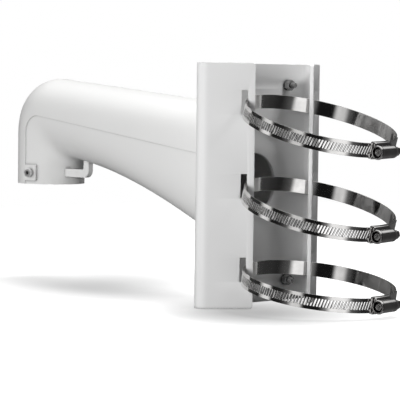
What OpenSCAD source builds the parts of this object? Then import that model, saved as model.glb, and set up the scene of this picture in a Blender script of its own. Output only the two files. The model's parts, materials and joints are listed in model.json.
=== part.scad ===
// Bracket that holds a camera beside a pole: a cast gooseneck arm, bolted to a folded
// channel that three worm-drive hose clamps strap to the pole.
// The origin is on the pole's axis at the channel's mid height. +Z is up along the pole,
// the arm reaches out along -Y, and +X is the side of the arm that carries the lock screw.

/* [Channel] */
// Height of the folded channel along the pole
channel_h = 250; // [232:1:320]
// Overall width of the channel across its two bends
channel_w = 169.4; // [164:0.1:190]
// Thickness of the channel's plate
channel_t = 4; // [3:0.5:5]
// Outside radius of the two bends
bend_r = 11.4; // [9:0.1:12]
// Angle by which each flange leans in from straight ahead
flange_lean = 53.7; // [50:0.1:56]
// Straight length of a flange from its bend to its free edge
flange_len = 47; // [44:0.5:54]
// Distance from the web's arm-side face to the pole's axis
pole_offset = 100; // [96:0.5:106]
// Radius of the cable hole in the web
cable_hole_r = 32; // [20:0.5:34]

/* [Strap slots] */
// Distance between neighbouring strap slots
slot_pitch = 85; // [70:1:92]
// Length of a strap slot
slot_len = 25; // [22:0.5:30]
// Width of a strap slot
slot_w = 6.6; // [6.4:0.1:8]
// Distance from a flange's free edge to the middle of its slots
slot_inset = 10.4; // [9:0.1:12]

/* [Arm] */
// Outside radius of the neck
neck_r = 39.2; // [36:0.1:41]
// Distance from the web to the neck's axis
reach = 334; // [300:1:360]
// Height of the neck's lower rim below the channel's mid height
neck_drop = 14.3; // [10:0.1:30]
// Height above the rim where the neck's solid collar ends
collar_h = 24; // [22:0.5:28]
// Radius of the threaded bore that takes the camera
thread_r = 24; // [20:0.1:25]
// Wall of the hollow casting
arm_wall = 5; // [4:0.5:6]
// Height of the arm's top at the elbow
elbow_top = 106.5; // [100:0.5:115]
// Fall of the arm's top line per millimetre towards the wall
top_fall = 0.088; // [0.06:0.002:0.11]
// Outside radius of the elbow
elbow_r = 56; // [48:1:60]
// Height of the side crease beside the elbow
crease_z = 61; // [55:0.5:66]
// Fall of the side crease per millimetre
crease_fall = 0.117; // [0.09:0.001:0.14]
// Radius of the crease's turn
crease_r = 20; // [14:1:26]
// Radius of the inside corner under the elbow
throat_r = 15; // [12:0.5:18]
// Slope of the arm's underside at the throat
belly_slope = 0.117; // [0.08:0.001:0.15]
// Growth of that slope along the arm
belly_curve = 0.00068; // [0.0005:0.00001:0.0008]
// Half width of the arm where it meets its plate
root_half_w = 50; // [44:0.5:52]
// Height of the step along the side crease
crease_step = 1.2; // [0.6:0.1:2]

/* [Arm plate] */
// Width of the arm's plate
plate_w = 119; // [116:1:124]
// Height of the arm's plate
plate_h = 231; // [230:1:231]
// Thickness of the arm's plate
plate_t = 10; // [8:0.5:12]
// Corner radius of the arm's plate
plate_corner = 11; // [8:0.5:12]

/* [Bolts] */
// Distance of the bolts from the middle plane
bolt_x = 47.5; // [47:0.5:48]
// Distance of the bolts from the mid height
bolt_z = 103; // [102:0.5:103]
// Thread radius of the bolts
bolt_r = 3; // [2.5:0.5:3]
// Width across the flats of bolt heads and nuts
hex_af = 10; // [9:0.5:11]
// Height of a bolt head
head_h = 4; // [3.5:0.5:5]
// Height of a nut
nut_h = 6; // [5:0.5:6]
// Length of bolt that stands inside the channel
bolt_reach = 13; // [11:0.5:15]
// Radius of the flat washers
washer_r = 6; // [5.9:0.1:6.6]
// Thickness of a washer
washer_t = 1.6; // [1.2:0.1:2]

/* [Clamps] */
// Inside radius of a clamp loop
loop_r = 77.5; // [76:0.5:79]
// Width of the strap
strap_w = 15; // [13:0.5:15]
// Thickness of the strap
strap_t = 1; // [0.8:0.1:1]
// Droop of the top, middle and bottom loops
loop_droop = [17, 16, 9.5];
// Direction of the screw housing round the loop
housing_dir = 96; // [85:1:105]
// Length of the screw housing
housing_len = 26; // [22:0.5:28]
// Radius of the worm's thread
worm_r = 5.2; // [4.6:0.1:5.4]
// Radius of the worm's core
core_r = 3.8; // [3.2:0.1:4]
// Distance between turns of the worm
worm_pitch = 2.6; // [2.4:0.1:3]
// Width across the flats of the worm's head
worm_af = 8; // [7:0.5:9]
// Distance between neighbouring strap perforations, in degrees of the loop
perf_step = 2.3; // [2:0.1:3]
// Length of one perforation
perf_len = 8.5; // [7:0.5:9]
// Width of one perforation
perf_w = 1.3; // [1:0.1:1.4]
// Slant of the perforations
perf_slant = 14; // [8:1:18]

/* [Camera lock screw] */
// Direction of the lock screw round the neck, from +X towards the pole
lock_dir = 14; // [8:1:20]
// Height of the lock screw above the neck's rim
lock_rise = 13.2; // [11:0.1:16]
// Thread radius of the lock screw
lock_r = 2.5; // [2:0.1:3]
// Radius of the lock screw's head
lock_head_r = 4.8; // [4.2:0.1:5.2]

/* [Rope eye] */
// Distance of the rope eye from the middle plane
eye_x = 7; // [4:0.5:10]
// Thickness of the rope eye
eye_t = 6.4; // [5:0.2:8]
// Depth of the rope eye's bar
eye_bar = 9; // [7:0.5:10]

/* [Hidden] */
$fn = 64;
levels = ["top", "middle", "bottom"];
// Running clearance of a loose fit
fit = 0.3;
// Depth by which a cut passes its face
over = 1;

// Channel section, measured from the web's arm-side face
web_y = -pole_offset;
bend_x = channel_w / 2 - bend_r;
flange_dir = [-sin(flange_lean), cos(flange_lean)];
flange_out = [cos(flange_lean), sin(flange_lean)];
flange_foot = [bend_x, bend_r] + bend_r * flange_out;
slot_run = flange_len - slot_inset;
slot_mid = flange_foot + slot_run * flange_dir - channel_t / 2 * flange_out;
bolt_places = [[bolt_x, bolt_z], [-bolt_x, bolt_z], [-bolt_x, -bolt_z], [bolt_x, -bolt_z]];
bolt_hole_r = bolt_r + fit;
web_in = web_y + channel_t;

// Clamp loops: each hangs from the foot of its slots
mid_r = loop_r + strap_t / 2;
chord = sqrt(mid_r * mid_r - slot_mid[0] * slot_mid[0]);
edge_run = 0.65 * channel_t;
layer = strap_t + 0.1;
tail_angle = 24;
ramp_angle = 26;
strap_facets = 4;
housing_half = asin(housing_len / 2 / mid_r);
perf_from = -36;
perf_to = housing_dir - housing_half - 3;
perf_count = floor((perf_to - perf_from) / perf_step);
saddle_t = 1;
cheek_t = 1;
worm_y = loop_r + 2 * layer + fit + worm_r;
barrel_in = worm_r + fit;
barrel_out = barrel_in + 1.1;
lip_t = 0.6;
lip_len = 3;
saddle_rise = 2.4;
saddle_drop = 3;
worm_turns = floor((housing_len - 2) / worm_pitch);

// Arm profiles, in the plane x = 0, with y measured from the web's arm-side face
neck_y = -reach;
throat_y = neck_y + neck_r + throat_r;
belly_z = 15.5;
throat_z = belly_z - throat_r;
sides = 16;
fan_step = 7.5;
bays = 9;
rim_z = -neck_drop;
lock_z = rim_z + lock_rise;
pad_w = 16;
pad_h = 18;
pad_proud = 1.6;
lock_face = neck_r + pad_proud;
collar_chamfer = 1.5;
bore_flare = 6;
bore_flare_h = 4;

function smooth(t) = t * t * (3 - 2 * t);
function mix(a, b, t) = a + (b - a) * t;

// Straight lines of the arm's top and of its crease
function top_z(y) = elbow_top - top_fall * (y - neck_y - elbow_r / 2);
function side_z(y) = crease_z - crease_fall * (y - neck_y - elbow_r);
function under_z(y) = let (s = y - throat_y) belly_z - belly_slope * s - belly_curve * s * s;

// Distance from the throat's centre, at a direction a above the horizontal, to a profile
// made of an upright line, a sloping line and the round of radius r between them
function corner_centre(y0, z0, slope, r) =
    let (cy = y0 + r, zc = z0 - slope * (cy - y0) - r * sqrt(1 + slope * slope)) [cy, zc];
function ray_line_x(y0, a) = (throat_y - y0) / cos(a);
function ray_slope(y0, z0, slope, a) =
    (z0 - throat_z - slope * (throat_y - y0)) / (sin(a) - slope * cos(a));
function ray_round(c, r, a) =
    let (dy = throat_y - c[0], dz = throat_z - c[1],
         b = -dy * cos(a) + dz * sin(a),
         q = dy * dy + dz * dz - r * r)
    -b + sqrt(max(b * b - q, 0));
function ray(y0, z0, slope, r, a) =
    let (c = corner_centre(y0, z0, slope, r),
         low = atan2(c[1] - throat_z, throat_y - y0),
         tangent_y = c[0] + r * slope / sqrt(1 + slope * slope),
         tangent_z = c[1] + r / sqrt(1 + slope * slope),
         high = atan2(tangent_z - throat_z, throat_y - tangent_y))
    a <= low ? ray_line_x(y0, a) : a >= high ? ray_slope(y0, z0, slope, a) : ray_round(c, r, a);
function fan_point(d, a) = [throat_y - d * cos(a), throat_z + d * sin(a)];

top_y0 = neck_y - neck_r;
top_z0 = top_z(top_y0);
side_z0 = side_z(neck_y);

// One station of the arm: its outer point, its crease point and its inner point
fan = [for (a = [0 : fan_step : 90])
    [fan_point(ray(top_y0, top_z0, top_fall, elbow_r, a), a),
     fan_point(ray(neck_y, side_z0, crease_fall, crease_r, a), a),
     fan_point(throat_r, a)]];
run = [for (i = [1 : bays])
    let (y = throat_y * (1 - i / bays)) [[y, top_z(y)], [y, side_z(y)], [y, under_z(y)]]];
stations = concat(fan, run);

// How far a station has gone from the round neck (0) to the boxy root (1), and its half width
function boxiness(s) = smooth(min(max((s[1][0] - neck_y) / reach, 0), 1));
function half_w(s) = mix(neck_r - crease_step, root_half_w, boxiness(s));
function bulge(v, n) = sign(v) * pow(abs(v), 2 / n);

// One closed ring of points round a station, with the wall taken off
function ring(s, wall) =
    let (c = s[1],
         up = s[0] - s[1],
         down = s[1] - s[2],
         h_up = norm(up),
         h_down = norm(down),
         e_up = up / h_up,
         e_down = down / h_down,
         w = half_w(s),
         n_up = mix(2, 2.3, boxiness(s)),
         n_down = mix(2, 3.4, boxiness(s)))
    concat(
        [for (i = [0 : sides])
            let (a = 180 * i / sides,
                 x = (w + crease_step - wall) * bulge(cos(a), n_up),
                 h = (h_up - wall) * bulge(sin(a), n_up))
            [x, c[0] + h * e_up[0], c[1] + h * e_up[1]]],
        [for (i = [0 : sides])
            let (a = 180 + 180 * i / sides,
                 lip = 0.4,
                 x = (w - wall) * bulge(cos(a), n_down),
                 h = min((h_down - wall) * bulge(sin(a), n_down), -lip))
            [x, c[0] + h * e_down[0], c[1] + h * e_down[1]]]);

ring_n = 2 * (sides + 1);
function split(q) = [[q[0], q[1], q[2]], [q[0], q[2], q[3]]];

// Closed tube between an outer and an inner skin, each a list of rings
module tube(outer, inner) {
    m = len(outer);
    points = concat([for (r = outer) each r], [for (r = inner) each r]);
    shift = m * ring_n;
    faces = concat(
        [for (j = [0 : m - 2], i = [0 : ring_n - 1]) each
            let (k = (i + 1) % ring_n, a = j * ring_n, b = (j + 1) * ring_n)
            split([a + k, b + k, b + i, a + i])],
        [for (j = [0 : m - 2], i = [0 : ring_n - 1]) each
            let (k = (i + 1) % ring_n, a = shift + j * ring_n, b = shift + (j + 1) * ring_n)
            split([a + i, b + i, b + k, a + k])],
        [for (i = [0 : ring_n - 1]) each
            let (k = (i + 1) % ring_n) split([shift + i, shift + k, k, i])],
        [for (i = [0 : ring_n - 1]) each
            let (k = (i + 1) % ring_n, b = (m - 1) * ring_n)
            split([b + i, b + k, shift + b + k, shift + b + i])]);
    polyhedron(points = points, faces = faces, convexity = 6);
}

// Upright plate with round corners, its back on the plane y = 0, with a hole of any outline
module round_plate(w, h, t, r) {
    rotate([90, 0, 0])
        linear_extrude(t) {
            square([w - 2 * r, h], center = true);
            square([w, h - 2 * r], center = true);
            for (sx = [-1, 1], sz = [-1, 1])
                translate([sx * (w / 2 - r), sz * (h / 2 - r)]) circle(r);
        }
}

// Cylinder along Y from y0 over a length
module bar_y(r, y0, len) {
    translate([0, y0, 0]) rotate([-90, 0, 0]) cylinder(r = r, h = len);
}

// Hexagonal bar along Y with a flat facing +X
module hex_y(af, y0, len) {
    translate([0, y0, 0]) rotate([-90, 0, 0]) rotate(30)
        cylinder(r = af / 2 / cos(30), h = len, $fn = 6);
}

// Lug on the neck's wall side that a safety rope is hooked through
module rope_eye() {
    far_y = throat_y + throat_r + 11;
    near_y = neck_y + neck_r - 8;
    drop = 5;
    round_r = 9;
    translate([eye_x - eye_t / 2, 0, 0]) {
        translate([0, near_y, -drop]) cube([eye_t, far_y - round_r - near_y, eye_bar]);
        translate([0, far_y - eye_bar, eye_bar - drop + over])
            cube([eye_t, eye_bar, belly_z - eye_bar + drop - over]);
        translate([0, far_y - round_r, eye_bar - drop + over]) rotate([0, 90, 0])
            intersection() {
                cylinder(r = round_r + over, h = eye_t);
                cube([round_r + over, round_r, eye_t]);
            }
    }
}

module arm_casting() {
    color("gainsboro") translate([0, web_y, 0])
    difference() {
        union() {
            tube([for (s = stations) ring(s, 0)], [for (s = stations) ring(s, arm_wall)]);
            difference() {
                round_plate(plate_w, plate_h, plate_t, plate_corner);
                rotate([90, 0, 0]) translate([0, 0, -over]) linear_extrude(plate_t + 2 * over)
                    polygon([for (p = ring(stations[len(stations) - 1], arm_wall / 2)) [p[0], p[2]]]);
            }
            translate([0, neck_y, rim_z]) rotate_extrude()
                polygon([[thread_r, 0], [neck_r - collar_chamfer, 0], [neck_r, collar_chamfer],
                         [neck_r, collar_h], [thread_r + bore_flare, collar_h],
                         [thread_r, collar_h - bore_flare_h]]);
            translate([0, neck_y, lock_z]) rotate(lock_dir)
                translate([thread_r + bore_flare, -pad_w / 2, -pad_h / 2])
                    cube([lock_face - thread_r - bore_flare, pad_w, pad_h]);
            rope_eye();
        }
        for (b = bolt_places)
            translate([b[0], -plate_t - over, b[1]]) bar_y(bolt_hole_r, 0, plate_t + 2 * over);
        translate([0, neck_y, lock_z]) rotate([0, 90, lock_dir])
            cylinder(r = lock_r + 0.1, h = lock_face + over);
    }
}

module camera_lock_screw() {
    socket_af = 4;
    head_h = 5;
    tip = thread_r + 0.5;
    color("silver") translate([0, web_y + neck_y, lock_z]) rotate([0, 90, lock_dir])
    difference() {
        union() {
            translate([0, 0, tip]) cylinder(r = lock_r, h = lock_face + fit - tip + over);
            translate([0, 0, lock_face + fit]) cylinder(r = lock_head_r, h = head_h - 0.6);
            translate([0, 0, lock_face + fit + head_h - 0.6])
                cylinder(r1 = lock_head_r, r2 = lock_head_r - 0.6, h = 0.6);
        }
        translate([0, 0, lock_face + fit + head_h - 3])
            cylinder(r = socket_af / 2 / cos(30), h = 3 + over, $fn = 6);
    }
}

// Points of the +X bend at a radius, from the web round to the flange
bend_steps = 18;
function bend_arc(r) = [for (i = [0 : bend_steps])
    let (a = -90 + (90 + flange_lean) * i / bend_steps) [bend_x + r * cos(a), bend_r + r * sin(a)]];
function reversed(list) = [for (i = [len(list) - 1 : -1 : 0]) list[i]];
flange_tip = flange_foot + flange_len * flange_dir;
half_section = concat(bend_arc(bend_r), [flange_tip, flange_tip - channel_t * flange_out],
    reversed(bend_arc(bend_r - channel_t)));

module pole_channel() {
    color("lightgray") translate([0, web_y, 0])
    difference() {
        translate([0, 0, -channel_h / 2]) linear_extrude(channel_h)
            polygon(concat(half_section, [for (p = reversed(half_section)) [-p[0], p[1]]]));
        translate([0, -over, 0]) bar_y(cable_hole_r, 0, channel_t + 2 * over);
        for (b = bolt_places)
            translate([b[0], -over, b[1]]) bar_y(bolt_hole_r, 0, channel_t + 2 * over);
        for (side = [0, 1], k = [-1 : 1])
            mirror([side, 0, 0])
                translate([slot_mid[0], slot_mid[1], k * slot_pitch]) rotate(flange_lean)
                    cube([channel_t + 2 * over, slot_w, slot_len], center = true);
    }
}

module bolt(i) {
    head_y = web_y - plate_t - washer_t;
    color("dimgray") translate([bolt_places[i][0], 0, bolt_places[i][1]]) {
        hex_y(hex_af, head_y - head_h, head_h);
        bar_y(bolt_r, head_y - over, washer_t + plate_t + channel_t + bolt_reach + over);
    }
}

module washer(i, r, y0) {
    color("silver") translate([bolt_places[i][0], 0, bolt_places[i][1]])
    difference() {
        bar_y(r, y0, washer_t);
        bar_y(bolt_hole_r, y0 - over, washer_t + 2 * over);
    }
}

module flat_washer(i) {
    washer(i, washer_r, web_y - plate_t - washer_t);
}

// Spring washer: a split ring
module spring_washer(i) {
    gap = 1.2;
    inset = 0.4;
    difference() {
        washer(i, washer_r - inset, web_in);
        color("silver") translate([bolt_places[i][0] - gap / 2, web_in - over, bolt_places[i][1]])
            rotate([0, 8, 0]) cube([gap, washer_t + 2 * over, washer_r + over]);
    }
}

module nut(i) {
    color("dimgray") translate([bolt_places[i][0], 0, bolt_places[i][1]])
    difference() {
        hex_y(hex_af, web_in + washer_t, nut_h);
        bar_y(bolt_r + 0.05, web_in + washer_t - over, nut_h + 2 * over);
    }
}

// Places a clamp's own frame: its loop lies in the plane z = 0 round the origin
module hang(k) {
    rest = fit + edge_run * tan(loop_droop[k]);
    rise = (1 - k) * slot_pitch - slot_len / 2 + rest + strap_w / 2 * cos(loop_droop[k]);
    translate([0, web_y + slot_mid[1], rise]) rotate([-loop_droop[k], 0, 0])
        translate([0, chord, 0]) children();
}

// Radius of the strap's inner face at an angle round the loop. The strap starts under the
// housing, runs once round with the loop and climbs over its own start before the housing
function strap_in(a) = loop_r + layer * smooth(min(max((a - 360 + housing_half + ramp_angle) / ramp_angle, 0), 1));
function strap_point(r, a) = let (d = housing_dir + a) [r * cos(d), r * sin(d)];
strap_angles = [for (a = [-housing_half + 2 : strap_facets : 360 + housing_half + tail_angle]) a];

module clamp_strap(k) {
    color("silver") hang(k)
    difference() {
        translate([0, 0, -strap_w / 2]) linear_extrude(strap_w)
            polygon(concat(
                [for (a = strap_angles) strap_point(strap_in(a), a)],
                [for (i = [len(strap_angles) - 1 : -1 : 0])
                    strap_point(strap_in(strap_angles[i]) + strap_t, strap_angles[i])]));
        for (i = [0 : perf_count - 1])
            rotate(perf_to - i * perf_step) translate([mid_r, 0, 0]) rotate([perf_slant, 0, 0])
                cube([8, perf_w, perf_len], center = true);
    }
}

module housing_frame(k) {
    hang(k) rotate(housing_dir - 90) children();
}

module screw_housing(k) {
    window_w = 8;
    color("darkgray") housing_frame(k)
    difference() {
        union() {
            translate([-housing_len / 2, worm_y, 0]) rotate([0, 90, 0])
                cylinder(r = barrel_out, h = housing_len);
            translate([housing_len / 2 - lip_len, worm_y, 0]) rotate([0, 90, 0])
                cylinder(r = barrel_out + lip_t, h = lip_len);
            translate([-housing_len / 2, loop_r - saddle_t - saddle_drop, -strap_w / 2 - fit - cheek_t])
                cube([housing_len, saddle_drop + saddle_t + 2 * layer + saddle_rise,
                      strap_w + 2 * (fit + cheek_t)]);
        }
        cylinder(r = loop_r - saddle_t - 0.1, h = 4 * strap_w, center = true);
        translate([-housing_len / 2 - over, worm_y, 0]) rotate([0, 90, 0])
            cylinder(r = barrel_in, h = housing_len + 2 * over);
        rotate_extrude()
            translate([loop_r - 0.1, -strap_w / 2 - fit]) square([2 * layer + 0.2, strap_w + 2 * fit]);
        translate([over - housing_len / 2 + 1, loop_r + layer, -window_w / 2])
            cube([housing_len - 2 * over - 2, worm_y - loop_r - layer, window_w]);
    }
}

module worm_screw(k) {
    collar_r = worm_r + 0.9;
    collar_t = 1.4;
    head_len = 6.5;
    slot_deep = 2;
    start = housing_len / 2 - over;
    color("silver") housing_frame(k) translate([start, worm_y, 0]) rotate([0, -90, 0])
    difference() {
        union() {
            rotate_extrude() polygon(concat(
                [[0, 0], [core_r, 0]],
                [for (i = [0 : worm_turns - 1], p = [[core_r, 0.15], [worm_r, 0.4], [worm_r, 0.62], [core_r, 0.88]])
                    [p[0], (i + p[1]) * worm_pitch]],
                [[core_r, housing_len - over + fit], [0, housing_len - over + fit]]));
            translate([0, 0, housing_len - over + fit]) cylinder(r = collar_r, h = collar_t);
            translate([0, 0, housing_len - over + fit + collar_t])
                cylinder(r = worm_af / 2 / cos(30), h = head_len, $fn = 6);
        }
        translate([-worm_af, -0.6, housing_len - over + fit + collar_t + head_len - slot_deep])
            cube([2 * worm_af, 1.2, slot_deep + over]);
    }
}

arm_casting();
camera_lock_screw();
pole_channel();
for (i = [0 : 3]) {
    bolt(i);
    flat_washer(i);
    spring_washer(i);
    nut(i);
}
for (k = [0 : 2]) {
    clamp_strap(k);
    screw_housing(k);
    worm_screw(k);
}
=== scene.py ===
# %% [markdown]
# The bracket is a hollow cast arm, a folded steel channel and three hose clamps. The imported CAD
# model is loaded first, because every piece below is placed in its frame, in metres: +Z is up
# along the pole, the arm reaches out along -Y, and the origin is on the pole's axis.

# %% Load the frame
import bpy
import bmesh
import json
import math
from mathutils import Matrix, Vector


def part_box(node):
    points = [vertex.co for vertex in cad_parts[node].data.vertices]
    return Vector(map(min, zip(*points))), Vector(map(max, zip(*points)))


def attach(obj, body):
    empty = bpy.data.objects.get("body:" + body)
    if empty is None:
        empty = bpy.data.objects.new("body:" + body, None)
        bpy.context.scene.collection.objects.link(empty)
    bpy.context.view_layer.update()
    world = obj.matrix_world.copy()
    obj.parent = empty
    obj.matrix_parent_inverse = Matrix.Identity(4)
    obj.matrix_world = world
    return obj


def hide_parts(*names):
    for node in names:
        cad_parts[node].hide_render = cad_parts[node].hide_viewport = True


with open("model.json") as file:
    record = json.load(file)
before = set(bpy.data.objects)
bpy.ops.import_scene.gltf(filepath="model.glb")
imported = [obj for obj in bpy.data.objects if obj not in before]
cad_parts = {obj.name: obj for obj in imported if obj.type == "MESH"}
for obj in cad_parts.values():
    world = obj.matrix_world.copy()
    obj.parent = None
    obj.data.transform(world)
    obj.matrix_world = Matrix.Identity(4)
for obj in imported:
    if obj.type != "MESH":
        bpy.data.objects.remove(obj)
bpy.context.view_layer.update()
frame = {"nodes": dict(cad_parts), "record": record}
MM = 0.001

# %% [markdown]
# The camera stands where the photographer stood: on the pole's side of the bracket, a little
# above it, two metres away with a long lens. The whole lot is given as an azimuth, a height
# angle, a roll and two small side steps, from which the camera's axes are worked out.

# %% Camera
camera_azimuth = math.radians(42.752)
camera_height = math.radians(3.302)
camera_roll = math.radians(0.703)
camera_distance = 2.0832
camera_aside = 0.0530
camera_over = 0.0175
camera_origin = Vector((0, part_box("pole_channel")[0].y, 0))
lens_px = 1990.5
picture_px = 400


def camera_axes(azimuth, height, roll):
    """Backward, right and up directions of a camera that looks at the origin."""
    back = Vector((math.sin(azimuth) * math.cos(height), math.cos(azimuth) * math.cos(height), math.sin(height)))
    flat_right = Vector((-math.cos(azimuth), math.sin(azimuth), 0))
    flat_up = back.cross(flat_right)
    right = math.cos(roll) * flat_right + math.sin(roll) * flat_up
    return back, right, back.cross(right)


back, right, up = camera_axes(camera_azimuth, camera_height, camera_roll)
camera_data = bpy.data.cameras.new("camera")
camera_data.sensor_width = 36
camera_data.lens = camera_data.sensor_width * lens_px / picture_px
camera_data.clip_end = 50
camera = bpy.data.objects.new("camera", camera_data)
bpy.context.scene.collection.objects.link(camera)
spot = camera_origin + back * camera_distance - right * camera_aside - up * camera_over
camera.matrix_world = Matrix.Translation(spot) @ Matrix((right, up, back)).transposed().to_4x4()
bpy.context.scene.camera = camera
print("camera at", [round(v, 3) for v in spot], "lens", round(camera_data.lens, 1), "mm")

# %% [markdown]
# Two things repeat in every material: a colour that wanders a little, with painted shade that darkens it in crevices,
# and a surface that isn't quite smooth. Each is a node group that is built once. A group gives out only a colour, a
# value and a height, and the Principled BSDF stays in the material, where it can be exported.

# %% Node groups


def new_group(name, inputs, outputs):
    """Empty shader group with float or colour sockets."""
    group = bpy.data.node_groups.new(name, "ShaderNodeTree")
    for label, kind, value in inputs:
        socket = group.interface.new_socket(label, in_out="INPUT", socket_type=kind)
        socket.default_value = value
    for label, kind in outputs:
        group.interface.new_socket(label, in_out="OUTPUT", socket_type=kind)
    return group, group.nodes.new("NodeGroupInput"), group.nodes.new("NodeGroupOutput")


def add(tree, kind, **settings):
    """New node with its settings and with its input values given by name or number."""
    node = tree.nodes.new(kind)
    for key, value in settings.items():
        if key == "values":
            for socket, number in value.items():
                node.inputs[socket].default_value = number
        else:
            setattr(node, key, value)
    return node


def paint_grain_and_crevice_shade_group():
    """Slow clouding, painted shade in crevices and a pebbled height for baked paint."""
    group, start, end = new_group(
        "paint_grain_and_crevice_shade",
        [("Color", "NodeSocketColor", (0.8, 0.8, 0.8, 1)), ("Clouding", "NodeSocketFloat", 0.04),
         ("Grain size", "NodeSocketFloat", 900.0), ("Gloss wander", "NodeSocketFloat", 0.06),
         ("Roughness", "NodeSocketFloat", 0.45)],
        [("Color", "NodeSocketColor"), ("Roughness", "NodeSocketFloat"), ("Height", "NodeSocketFloat")])
    links = group.links
    place = add(group, "ShaderNodeTexCoord")
    clouds = add(group, "ShaderNodeTexNoise", values={"Scale": 9.0, "Detail": 3.0})
    grain = add(group, "ShaderNodeTexNoise", values={"Detail": 2.0, "Roughness": 0.6})
    links.new(place.outputs["Object"], clouds.inputs["Vector"])
    links.new(place.outputs["Object"], grain.inputs["Vector"])
    links.new(start.outputs["Grain size"], grain.inputs["Scale"])
    lift = add(group, "ShaderNodeMath", operation="SUBTRACT", values={1: 0.5})
    links.new(clouds.outputs["Fac"], lift.inputs[0])
    sway = add(group, "ShaderNodeMath", operation="MULTIPLY")
    links.new(lift.outputs[0], sway.inputs[0])
    links.new(start.outputs["Clouding"], sway.inputs[1])
    bright = add(group, "ShaderNodeMath", operation="ADD", values={1: 1.0})
    links.new(sway.outputs[0], bright.inputs[0])
    # Painted shade: ambient occlusion darkens the paint's colour in crevices and corners where the surface is shut in
    # nearby.
    painted_crevice_shade = add(group, "ShaderNodeAmbientOcclusion", samples=8, values={"Distance": 0.004})
    unshaded_share = add(group, "ShaderNodeMapRange",
                     values={"From Min": 0.35, "From Max": 0.95, "To Min": 0.45, "To Max": 1.0})
    links.new(painted_crevice_shade.outputs["AO"], unshaded_share.inputs["Value"])
    shaded = add(group, "ShaderNodeMath", operation="MULTIPLY")
    links.new(bright.outputs[0], shaded.inputs[0])
    links.new(unshaded_share.outputs["Result"], shaded.inputs[1])
    tint = add(group, "ShaderNodeVectorMath", operation="SCALE")
    links.new(start.outputs["Color"], tint.inputs[0])
    links.new(shaded.outputs[0], tint.inputs["Scale"])
    gloss = add(group, "ShaderNodeMath", operation="MULTIPLY")
    links.new(lift.outputs[0], gloss.inputs[0])
    links.new(start.outputs["Gloss wander"], gloss.inputs[1])
    rough = add(group, "ShaderNodeMath", operation="ADD")
    links.new(gloss.outputs[0], rough.inputs[0])
    links.new(start.outputs["Roughness"], rough.inputs[1])
    links.new(tint.outputs[0], end.inputs["Color"])
    links.new(rough.outputs[0], end.inputs["Roughness"])
    links.new(grain.outputs["Fac"], end.inputs["Height"])
    return group


def metal_grain_and_crevice_shade_group():
    """Drawn streaks, a slow tarnish and painted shade in crevices for bare steel."""
    group, start, end = new_group(
        "metal_grain_and_crevice_shade",
        [("Color", "NodeSocketColor", (0.6, 0.6, 0.6, 1)), ("Tarnish", "NodeSocketFloat", 0.2),
         ("Streak scale", "NodeSocketVector", (30.0, 30.0, 2500.0)), ("Roughness", "NodeSocketFloat", 0.2),
         ("Roughness wander", "NodeSocketFloat", 0.12)],
        [("Color", "NodeSocketColor"), ("Roughness", "NodeSocketFloat"), ("Height", "NodeSocketFloat")])
    links = group.links
    place = add(group, "ShaderNodeTexCoord")
    stretch = add(group, "ShaderNodeVectorMath", operation="MULTIPLY")
    links.new(place.outputs["Object"], stretch.inputs[0])
    links.new(start.outputs["Streak scale"], stretch.inputs[1])
    streaks = add(group, "ShaderNodeTexNoise", values={"Scale": 1.0, "Detail": 2.0})
    links.new(stretch.outputs[0], streaks.inputs["Vector"])
    clouds = add(group, "ShaderNodeTexNoise", values={"Scale": 60.0, "Detail": 2.0})
    links.new(place.outputs["Object"], clouds.inputs["Vector"])
    shade = add(group, "ShaderNodeMapRange", values={"From Min": 0.35, "From Max": 0.65, "To Min": 1.0, "To Max": 0.0})
    links.new(clouds.outputs["Fac"], shade.inputs["Value"])
    dull = add(group, "ShaderNodeMath", operation="MULTIPLY")
    links.new(shade.outputs["Result"], dull.inputs[0])
    links.new(start.outputs["Tarnish"], dull.inputs[1])
    keep = add(group, "ShaderNodeMath", operation="SUBTRACT", values={0: 1.0})
    links.new(dull.outputs[0], keep.inputs[1])
    # Painted shade: ambient occlusion darkens the steel's colour in crevices and corners where the surface is shut in
    # nearby.
    painted_crevice_shade = add(group, "ShaderNodeAmbientOcclusion", samples=8, values={"Distance": 0.003})
    unshaded_share = add(group, "ShaderNodeMapRange",
                     values={"From Min": 0.3, "From Max": 0.9, "To Min": 0.12, "To Max": 1.0})
    links.new(painted_crevice_shade.outputs["AO"], unshaded_share.inputs["Value"])
    shaded = add(group, "ShaderNodeMath", operation="MULTIPLY")
    links.new(keep.outputs[0], shaded.inputs[0])
    links.new(unshaded_share.outputs["Result"], shaded.inputs[1])
    tint = add(group, "ShaderNodeVectorMath", operation="SCALE")
    links.new(start.outputs["Color"], tint.inputs[0])
    links.new(shaded.outputs[0], tint.inputs["Scale"])
    wander = add(group, "ShaderNodeMath", operation="MULTIPLY")
    links.new(streaks.outputs["Fac"], wander.inputs[0])
    links.new(start.outputs["Roughness wander"], wander.inputs[1])
    rough = add(group, "ShaderNodeMath", operation="ADD")
    links.new(wander.outputs[0], rough.inputs[0])
    links.new(start.outputs["Roughness"], rough.inputs[1])
    links.new(tint.outputs[0], end.inputs["Color"])
    links.new(rough.outputs[0], end.inputs["Roughness"])
    links.new(streaks.outputs["Fac"], end.inputs["Height"])
    return group


paint_grain_and_crevice_shade = paint_grain_and_crevice_shade_group()
metal_grain_and_crevice_shade = metal_grain_and_crevice_shade_group()
print("groups", paint_grain_and_crevice_shade.name, metal_grain_and_crevice_shade.name)

# %% [markdown]
# The arm and the channel are sprayed and baked in the same light grey. The casting's skin is
# pebbled by the sand below the paint, and the sheet's is finer. The clamps are bright stainless
# steel, and the bolts inside the channel look nearly black in the photo.

# %% Materials


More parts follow.
